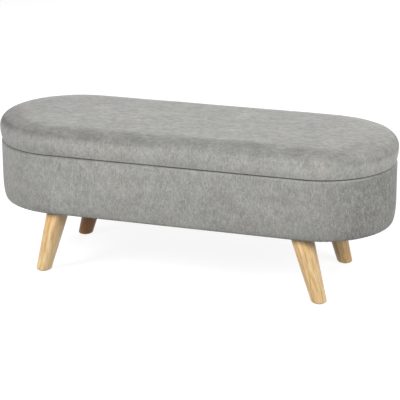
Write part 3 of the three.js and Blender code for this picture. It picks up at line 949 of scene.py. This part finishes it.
def make_box_cover(lift):
    seam_columns = [side * SEAM_WIDTH * t for side in (-1, 1) for t in (0.4, 1.0, 1.8)]
    uneven = undulation(BOX_WAVE, BOX_WAVE_DEPTH, seed=3.0)
    moves = [lift, uneven, gathers(SKIN_BOTTOM, BOX_RADIUS - BASE_TAPER), rear_seam]
    cover = make_cover("box", box_section(), stadium_columns(seam_columns), moves)


def make_lid_cover(lift):
    uneven = undulation(LID_WAVE, LID_WAVE_DEPTH, seed=9.0)
    moves = [lift, uneven, gathers(LID_SKIN_BOTTOM, LID_RADIUS - LID_TUCK)]
    cover = make_cover("lid", lid_section(), stadium_columns(), moves)


def make_lid_foam(lift):
    bottom = LID_BOARD_TOP + CLEARANCE
    over_board = [p for p in lid_section(FOAM_INSET) if p[1] > bottom + MM]
    under = steps_between((ROW, bottom), (over_board[0][0], bottom), 4 * ROW)
    foam_pad = swept("lid_foam_pad", [(0.0, bottom), *under, *over_board], CREAM_FOAM)
    reshape(foam_pad, lift)
    stands_for(foam_pad, "lid", "lid_foam")


def make_box_foam(lift):
    wall = WALL_OUTER + CLEARANCE
    outside = [p for p in box_section(FOAM_INSET) if p[0] > wall]
    ring = [*outside, *steps_between((wall, outside[-1][1]), (wall, outside[0][1]), 4 * ROW)]
    columns = stadium_columns()
    first = 0
    counts = (STRAIGHT_COLUMNS, END_COLUMNS) * 2
    for side, count in zip(("front", "right", "rear", "left"), counts):
        part = [columns[i % len(columns)] for i in range(first, first + count + 1)]
        first += count
        pad = swept(f"{side}_foam", ring, CREAM_FOAM, part, closed_section=True, whole=False)
        reshape(pad, lift)
        stands_for(pad, "box", f"{side}_padding", SHARP)


def make_padding():
    box_form = closed_form("box_form", box_section(), BOX_TOP)
    box_lift = swelling(box_form, outside_box_padding, BOX_PRESSURE, BOX_SWELL)
    lid_form = closed_form("lid_form", lid_section())
    lid_lift = swelling(lid_form, below_lid_shoulder, LID_PRESSURE, LID_SWELL)
    make_box_cover(box_lift)
    make_lid_cover(lid_lift)
    make_lid_foam(lid_lift)
    make_box_foam(box_lift)


# ------ linings


def make_wall_lining():
    """The black cloth stapled round the inside of the box."""
    low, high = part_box("wall_lining")
    hang = [*steps_between((high.y, low.z), (high.y, high.z), 9 * MM), (high.y, high.z)]
    ring = [*hang, *((radius - LINING, height) for radius, height in reversed(hang))]
    wall = swept("wall_lining_cloth", ring, BLACK_CLOTH, closed_section=True)

    def slack(point):
        _, outward = radius_and_way(point)
        free = share(point.z, low.z, low.z + 20 * MM) * share(high.z - point.z, 0, 25 * MM)
        wave = 0.5 + 0.5 * noise.noise(Vector((point.x * 14, point.y * 14, point.z * 5)))
        return -outward * wave * free * LINING_SLACK

    reshape(wall, slack)
    stands_for(wall, "box", "wall_lining", BLUNT)


def make_floor_panel():
    """The loose board on the floor of the storage space, covered in the same cloth."""
    low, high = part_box("floor_panel")
    inner = high.y - PANEL_ROUNDING
    section = [
        (0, low.z), (inner, low.z), (high.y, low.z + PANEL_ROUNDING),
        *elbow((high.y, high.z - PANEL_ROUNDING), (inner, high.z), 4, upright=True),
        *steps_between((inner, high.z), (0, high.z), 14 * MM),
        (0, high.z),
    ]
    panel = swept("floor_panel_covered", section, BLACK_CLOTH)
    stands_for(panel, "box", "floor_panel", BLUNT)


def make_thin_cover(name, body, node, sag, seed, holes=()):
    """A stadium of lining cloth with a turned-under hem, which hangs a little between staples."""
    low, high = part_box(node)
    radius = high.y
    bottom = [*steps_between((0, low.z), (radius, low.z), 10 * MM), (radius, low.z)]
    top = [(r, high.z) for r, _ in reversed(bottom)]
    cover = swept(name, [*bottom, *top], BLACK_CLOTH)

    def hang(point):
        out, _ = radius_and_way(point)
        loose = share(radius - out, 4 * MM, 60 * MM)
        wave = 0.45 + 0.55 * noise.noise(Vector((point.x * 6, point.y * 8, seed)))
        hem = HEM * share(out, radius - HEM_WIDTH - 1.5 * MM, radius - HEM_WIDTH)
        return Vector((0, 0, -sag * loose * wave - hem * (point.z < high.z - 0.1 * MM)))

    reshape(cover, hang)
    if holes:
        carve(cover, holes)
    stands_for(cover, body, node, BLUNT)


def make_dust_cover():
    """The cloth under the base, with a hole for each leg bolt."""
    low = UNDERSIDE - UNDER_SAG - 2 * MM
    hole = [(0, low), (DUST_HOLE, low), (DUST_HOLE, BASE_BOTTOM), (0, BASE_BOTTOM)]
    holes = [turned(f"hole_{c}", hole, 24, BLACK_CLOTH, *top_of_leg(c)) for c in CORNERS]
    make_thin_cover("dust_cover_cloth", "box", "dust_cover", UNDER_SAG, 1, holes)


def make_lid_lining():
    make_thin_cover("lid_lining_cloth", "lid", "lid_lining", LID_LINING_SAG, 2)


# ------ staples


def staples(name, body, places):
    """Fine wire staples in one piece. places holds (middle, way out of the surface, way along)."""
    half = STAPLE_CROWN / 2
    wire = STAPLE_WIRE
    outline = [
        (-half, -STAPLE_LEG), (-half, -STAPLE_BEND), (-half + STAPLE_BEND, 0),
        (half - STAPLE_BEND, 0), (half, -STAPLE_BEND), (half, -STAPLE_LEG),
        (half - wire, -STAPLE_LEG), (half - wire, -wire), (-half + wire, -wire),
        (-half + wire, -STAPLE_LEG),
    ]
    count = len(outline)
    vertices = []
    faces = []
    for middle, out, along in places:
        across = out.cross(along)
        first = len(vertices)
        for side in (-0.5, 0.5):
            centre = middle + out * wire + across * side * STAPLE_WIDTH
            vertices += [centre + along * u + out * w for u, w in outline]
        for i in range(count):
            j = (i + 1) % count
            faces.append((first + i, first + j, first + count + j, first + count + i))
        for end in (first, first + count):
            faces.append((end, end + 1, end + 8, end + 9))
            faces.append((end + 1, end + 2, end + 3, end + 4, end + 7, end + 8))
            faces.append((end + 4, end + 5, end + 6, end + 7))
    row = piece(name, vertices, faces, ZINC_STEEL)
    crease_sharp_edges(row)
    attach(row, body)


def places_round(radius, height, spacing, out=None):
    """Places along a stadium of that radius. out is the way out of the surface, inwards if None."""
    half = 2 * HALF_STRAIGHT + math.pi * radius
    count = round(2 * half / spacing)
    places = []
    for i in range(count):
        run = (i + 0.5) * 2 * half / count
        side = 1 if run < half else -1
        run %= half
        angle = max(0, run - 2 * HALF_STRAIGHT) / radius
        outward = Vector((math.sin(angle), -math.cos(angle), 0)) * side
        x = side * (min(run, 2 * HALF_STRAIGHT) - HALF_STRAIGHT)
        middle = Vector((x, 0, height)) + outward * radius
        places.append((middle, out or -outward, Vector((-outward.y, outward.x, 0))))
    return places


def away_from_legs(point):
    return all(
        (point.xy - Vector(top_of_leg(corner))).length > LEG_TOP_RADIUS + STAPLE_CROWN
        for corner in CORNERS
    )


def away_from_hinges(point):
    return point.y < 0 or all(
        abs(point.x - middle_of(f"hinge_pin_{place}").x) > HINGE_LENGTH / 2 + STAPLE_CROWN
        for place in HINGES
    )


def make_staples():
    down = Vector((0, 0, -1))
    under_box = ("box", "dust_cover", away_from_legs)
    under_lid = ("lid", "lid_lining", away_from_hinges)
    for body, node, is_clear in (under_box, under_lid):
        low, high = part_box(node)
        row = places_round(high.y - STAPLE_INSET, low.z - HEM, STAPLE_SPACING, down)
        staples(f"{node}_staples", body, [place for place in row if is_clear(place[0])])
    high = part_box("wall_lining")[1]
    height = high.z - LINING_STAPLE_DROP
    row = places_round(high.y - LINING, height, LINING_STAPLE_SPACING)
    staples("wall_lining_staples", "box", row)


# ------ legs and their fixings


def middle_of(node):
    low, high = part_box(node)
    return (low + high) / 2


def top_of_leg(corner):
    middle = middle_of(f"hanger_bolt_{corner}")
    return middle.x, middle.y


def make_leg(corner, number):
    """A cone that leans along the bench, bored for its bolt above and its glide's peg below."""
    top_x, y = top_of_leg(corner)
    foot_x = middle_of(f"glide_{corner}").x
    low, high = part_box(f"leg_{corner}")
    foot = low.z + LEG_FOOT_ROUNDING

    def centre(height):
        return top_x + (foot_x - top_x) * (1 - height / UNDERSIDE)

    def radius(height):
        up = (height - foot) / (high.z - foot)
        return LEG_FOOT_RADIUS + (LEG_TOP_RADIUS - LEG_FOOT_RADIUS) * up

    shoulder = high.z - LEG_CHAMFER
    outside = [
        *elbow((LEG_FOOT_RADIUS - LEG_FOOT_ROUNDING, low.z), (LEG_FOOT_RADIUS, foot), 8),
        *((radius(z), z) for _, z in steps_between((0, foot), (0, shoulder), 7 * MM)),
        (radius(shoulder), shoulder), (radius(high.z) - LEG_CHAMFER, high.z),
    ]
    peg_top = low.z + PEG_LENGTH
    peg_bore = PEG_RADIUS + CLEARANCE
    bore = BOLT_RADIUS + CLEARANCE
    bore_end = high.z - BOLT_IN_LEG
    rows = [
        (0, peg_top + PEG_DRILL_POINT, foot_x),
        (peg_bore, peg_top, foot_x), (peg_bore, low.z, foot_x),
        *((r, z, centre(z)) for r, z in outside),
        (bore, high.z, top_x), (bore, bore_end, top_x), (0, bore_end - DRILL_POINT, top_x),
    ]
    # The rear left leg gets the copy with painted shade, darker as if in the box's shadow.
    wood = RUBBERWOOD_IN_PAINTED_SHADE if corner == "rear_left" else RUBBERWOOD
    leg = turned(f"wooden_leg_{corner}", rows, 72, wood, y=y)
    grain = leg.data.attributes.new("grain", "FLOAT_VECTOR", "POINT")
    for vertex, value in zip(leg.data.vertices, grain.data):
        x, y_here, z = vertex.co
        value.vector = (
            x - centre(z) + number * GRAIN_SHIFT_X,
            y_here - y + number * GRAIN_SHIFT_Y,
            z,
        )
    stands_for(leg, "box", f"leg_{corner}", LEG_CREASE)


def fitting(name, rows, steps, material, node, crease=SHARP):
    """A lathed piece of the box, round the upright line through its node's middle."""
    middle = middle_of(node)
    obj = turned(name, rows, steps, material, middle.x, middle.y)
    stands_for(obj, "box", node, crease)


def thread(radius, start, end, pitch, depth):
    """Rows of a screw thread's ridges, as rings from start to end."""
    count = max(1, round(abs(end - start) / pitch))
    step = (end - start) / count
    rows = []
    for i in range(count):
        rows.append((radius - depth, start + step * (i + 0.1)))
        rows.append((radius, start + step * (i + 0.5)))
    return [*rows, (radius - depth, end)]


def make_leg_bolt(corner):
    """A hanger bolt: a coarse wood thread below a plain neck, and a fine thread above it."""
    node = f"hanger_bolt_{corner}"
    low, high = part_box(node)
    neck = high.z - BOLT_ABOVE_NECK
    rows = [
        (0, low.z),
        *thread(BOLT_RADIUS, low.z + BOLT_POINT, neck - 4 * MM, **WOOD_THREAD),
        (BOLT_RADIUS, neck - 3 * MM), (BOLT_RADIUS, neck),
        *thread(BOLT_RADIUS, neck + MM, high.z - MM, **BOLT_THREAD),
        (BOLT_RADIUS - MM, high.z), (0, high.z),
    ]
    fitting(f"leg_bolt_{corner}", rows, 32, ZINC_STEEL, node)


def make_leg_nut(corner):
    node = f"leg_nut_{corner}"
    low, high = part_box(node)
    bore = BOLT_RADIUS + CLEARANCE
    flange = (high.x - low.x) / 2
    under = high.z - NUT_FLANGE
    rows = [
        (bore, low.z + 0.5 * MM), (bore + 0.4 * MM, low.z), (NUT_BARREL_RADIUS, low.z),
        (NUT_BARREL_RADIUS, under), (flange - 0.3 * MM, under), (flange, under + 0.3 * MM),
        (flange, high.z - 0.4 * MM), (flange - 0.4 * MM, high.z), (bore + 0.5 * MM, high.z),
        (bore, high.z - 0.5 * MM), (bore, low.z + 0.5 * MM),
    ]
    fitting(f"threaded_insert_{corner}", rows, 40, ZINC_STEEL, node)


def make_glide(corner):
    node = f"glide_{corner}"
    low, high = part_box(node)
    radius = (high.x - low.x) / 2
    plate_top = low.z + GLIDE_THICKNESS
    rows = [
        (0, low.z),
        *elbow((radius - MM, low.z), (radius, low.z + MM), 5),
        (radius, low.z + MM), (radius, plate_top - 0.4 * MM), (radius - 0.4 * MM, plate_top),
        (PEG_RADIUS, plate_top), (PEG_RADIUS, high.z - 2 * MM), (0.3 * MM, high.z), (0, high.z),
    ]
    fitting(f"foot_glide_{corner}", rows, 48, BROWN_NYLON, node)


# ------ hinges, screws and bumpers


def extruded(name, outline, bottom, top, material):
    """A plate with that (x, y) outline."""
    count = len(outline)
    vertices = [(x, y, z) for z in (bottom, top) for x, y in outline]
    sides = [(i, (i + 1) % count, (i + 1) % count + count, i + count) for i in range(count)]
    faces = [tuple(range(count)), tuple(range(count, 2 * count)), *sides]
    return piece(name, vertices, faces, material)


def along_x(obj, middle):
    """Lays a piece turned about the Z axis along X, and moves it to that place."""
    turn = Matrix.Rotation(math.radians(90), 4, "Y")
    obj.data.transform(Matrix.Translation(middle) @ turn)
    return obj


def leaf_outline(inner, edge, pin_edge, spans):
    """A leaf with two rounded corners at inner, and tabs that reach from edge to pin_edge."""
    half = HINGE_LENGTH / 2
    corner = LEAF_CORNER
    turns = [i / 6 * math.pi / 2 for i in range(7)]
    outline = [
        (-half, edge),
        *((-half + corner * (1 - math.cos(a)), inner + corner * (1 - math.sin(a))) for a in turns),
        *((half - corner * (1 - math.sin(a)), inner + corner * (1 - math.cos(a))) for a in turns),
        (half, edge),
    ]
    for start, end in reversed(spans):
        outline += [(end, edge), (end, pin_edge), (start, pin_edge), (start, edge)]
    return outline


def hinge_barrel(start, end, pin):
    """A knuckle from start to end along the pin, measured from the pin's middle."""
    bore = PIN_RADIUS + CLEARANCE
    rounded = KNUCKLE_RADIUS - KNUCKLE_ROUNDING
    rows = [
        (bore, start), (rounded, start), (KNUCKLE_RADIUS, start + KNUCKLE_ROUNDING),
        (KNUCKLE_RADIUS, end - KNUCKLE_ROUNDING), (rounded, end), (bore, end), (bore, start),
    ]
    return along_x(turned("barrel", rows, 32, ZINC_STEEL), pin)


def make_hinge_leaf(body, place, pin, face, screw_cutters):
    """A leaf whose screwed face is at the height face, with its tabs rolled round the pin."""
    name = f"{body}_leaf_{place}"
    node = f"hinge_{body}_leaf_{place}"
    spans = OUTER_KNUCKLES if body == "box" else MIDDLE_KNUCKLE
    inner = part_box(node)[0].y
    edge = pin.y - KNUCKLE_RADIUS - 0.4 * MM
    outline = leaf_outline(inner, edge, pin.y - PIN_RADIUS - 2 * CLEARANCE, spans)
    bottom = face - LEAF if body == "box" else face
    plate = extruded(name, outline, bottom, bottom + LEAF, ZINC_STEEL)
    plate.data.transform(Matrix.Translation((pin.x, 0, 0)))
    carve(plate, screw_cutters)
    leaf = joined(name, [plate, *(hinge_barrel(start, end, pin) for start, end in spans)])
    ease_edges(leaf, LEAF_EASING)
    stands_for(settle(leaf), body, node, SHARP)


def screw_mesh():
    """A countersunk cross-head screw with the middle of its head at the origin, pointing down."""
    head = SCREW_HEAD_RADIUS
    point = -SCREW_LENGTH + SCREW_POINT
    rows = [
        (0, -SCREW_LENGTH),
        *thread(SCREW_RADIUS, point, -SCREW_HEAD - 2 * MM, **SCREW_THREAD),
        (SCREW_RADIUS, -SCREW_HEAD - 1.5 * MM), (SCREW_RADIUS, -SCREW_HEAD), (head, -0.35 * MM),
        (head, -0.1 * MM), (head - 0.2 * MM, 0.0), (0, 0.0),
    ]
    screw = turned("screw", rows, 28, ZINC_STEEL)
    long = SLOT_HALF_LENGTH
    wide = SLOT_HALF_WIDTH
    slot = [(-long, -wide), (long, -wide), (long, wide), (-long, wide)]
    cutters = []
    for number in range(2):
        cutter = extruded(f"slot_{number}", slot, -SLOT_DEPTH, MM, ZINC_STEEL)
        cutter.data.transform(Matrix.Rotation(number * math.pi / 2 + 0.4, 4, "Z"))
        cutters.append(cutter)
    carve(screw, cutters)
    crease_sharp_edges(screw)
    mesh = screw.data
    bpy.data.objects.remove(screw)
    return mesh


def make_hinge_screw(body, place, number, face, mesh):
    """A screw in a leaf whose screwed face is at that height. Returns the cutter of its hole."""
    node = f"hinge_{body}_screw_{place}_{number}"
    at = middle_of(node)
    screw = bpy.data.objects.new(f"{body}_screw_{place}_{number}", mesh.copy())
    flip = Matrix.Rotation(0 if body == "box" else math.pi, 4, "X")
    twist = Matrix.Rotation(number * 0.7 + at.x, 4, "Z")
    screw.data.transform(Matrix.Translation((at.x, at.y, face)) @ flip @ twist)
    bpy.context.scene.collection.objects.link(screw)
    stands_for(screw, body, node)
    shank = SCREW_RADIUS + CLEARANCE
    down = 1 if body == "box" else -1
    far = face - down * 5 * MM
    near = face + down * 5 * MM
    head = SCREW_HEAD_RADIUS + CLEARANCE
    rows = [
        (0, far), (shank, far), (shank, face - down * SCREW_HEAD), (head, face), (head, near),
        (0, near),
    ]
    return turned(f"sink_{number}", rows, 28, ZINC_STEEL, at.x, at.y)


def make_hinge_pin(place):
    low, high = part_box(f"hinge_pin_{place}")
    half = (high.x - low.x) / 2
    head = (PIN_HEAD_RADIUS, -half + PIN_HEAD)
    near = [*elbow((0, -half), head, 6), head, (PIN_RADIUS, -half + PIN_HEAD)]
    rows = [*near, *((radius, -height) for radius, height in reversed(near))]
    pin = along_x(turned(f"pin_{place}", rows, 32, ZINC_STEEL), (low + high) / 2)
    stands_for(pin, "box", f"hinge_pin_{place}", SHARP)


def make_hinges():
    mesh = screw_mesh()
    for body, above_pin in (("box", -1), ("lid", 1)):
        for place in HINGES:
            pin = middle_of(f"hinge_pin_{place}")
            face = pin.z + above_pin * CLEARANCE / 2
            cutters = [make_hinge_screw(body, place, number, face, mesh) for number in (1, 2)]
            make_hinge_leaf(body, place, pin, face, cutters)
    for place in HINGES:
        make_hinge_pin(place)


def make_bumper(end):
    node = f"rubber_bumper_{end}"
    low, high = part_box(node)
    radius = (high.y - low.y) / 2
    crown = (0.7 * radius, high.z)
    rows = [
        (0, low.z), (radius - 0.2 * MM, low.z), (radius, low.z + 0.2 * MM),
        *elbow((radius, high.z - BUMPER_ROUNDING), crown, 6, upright=True),
        crown,
        (0, high.z),
    ]
    fitting(f"bumper_{end}", rows, 40, BLACK_RUBBER, node, BLUNT)


def finish_boards():
    """The plywood boards stay as they are in the frame, with eased edges."""
    boards = ["base_board", "front_panel", "rear_panel", "left_end_wall", "right_end_wall"]
    straps = [f"joint_strap_{corner}" for corner in CORNERS]
    for name in [*boards, "lid_board", *straps]:
        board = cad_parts[name]
        board.data.materials.clear()
        board.data.materials.append(PLYWOOD)
        ease_edges(board, BOARD_EASING)


# ------ the whole bench

CORNERS = [f"{side}_{end}" for side in ("front", "rear") for end in ("left", "right")]
HINGES = ["left", "centre", "right"]

add_camera()
add_world(below=0.26, above=0.12)
add_area_light("front_left", azimuth=-38, elevation=34, distance=4.0, size=1.8, brightness=1.06)
add_area_light("front_right", azimuth=64, elevation=32, distance=4.0, size=1.8, brightness=0.74)
add_area_light("behind", azimuth=170, elevation=14, distance=4.0, size=2.0, brightness=0.45)

GREY_CHENILLE = chenille()
BLACK_CLOTH = non_woven()
CREAM_FOAM = foam()
PLYWOOD = plywood()
RUBBERWOOD = rubberwood("rubberwood", (1, 1, 1))
# A copy of the wood with painted shade, for the leg that stands in shade.
RUBBERWOOD_IN_PAINTED_SHADE = rubberwood("rubberwood_painted_shade", (0.37, 0.20, 0.04))
ZINC_STEEL = zinc_steel()
BROWN_NYLON = moulded("brown_nylon", linear(122, 98, 74), 0.55)
BLACK_RUBBER = moulded("black_rubber", linear(34, 34, 35), 0.8)

make_padding()
make_wall_lining()
make_floor_panel()
make_dust_cover()
make_lid_lining()
make_staples()
for number, corner in enumerate(CORNERS):
    make_leg(corner, number)
    make_leg_bolt(corner)
    make_leg_nut(corner)
    make_glide(corner)
make_hinges()
for end in ("left", "right"):
    make_bumper(end)
finish_boards()
add_floor()
bpy.context.scene.view_settings.view_transform = "Standard"
